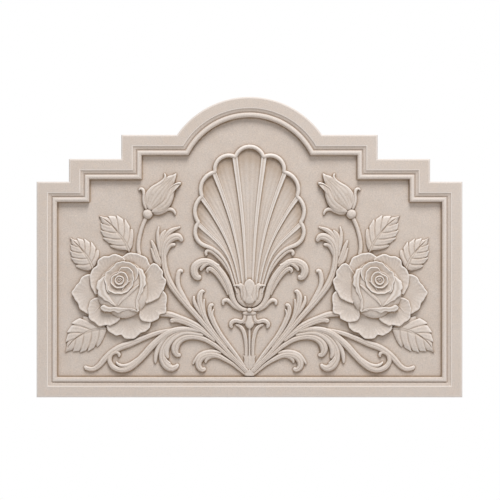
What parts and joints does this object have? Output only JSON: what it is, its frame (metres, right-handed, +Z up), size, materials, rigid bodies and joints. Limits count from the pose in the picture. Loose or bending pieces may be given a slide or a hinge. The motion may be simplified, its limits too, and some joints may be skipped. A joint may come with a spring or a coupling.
{
  "type": "tympanum panel",
  "caption": "Stepped and arched stone slab with a moulded frame and a shell, roses, buds, leaves and acanthus scrolls in relief, to build in over a door or window.",
  "frame": {"origin": "on the flat back, on the panel's axis, at half of its full height", "axes": "+X to the viewer's right along the width, +Y out of the back into the wall, +Z up; the carved front faces -Y"},
  "size_m": [1.2, 0.078, 0.847],
  "materials": {
    "stone": "fine-rubbed limestone, matt"
  },
  "bodies": {
    "root": {"tympanum_panel": "stone"}
  },
  "joints": []
}
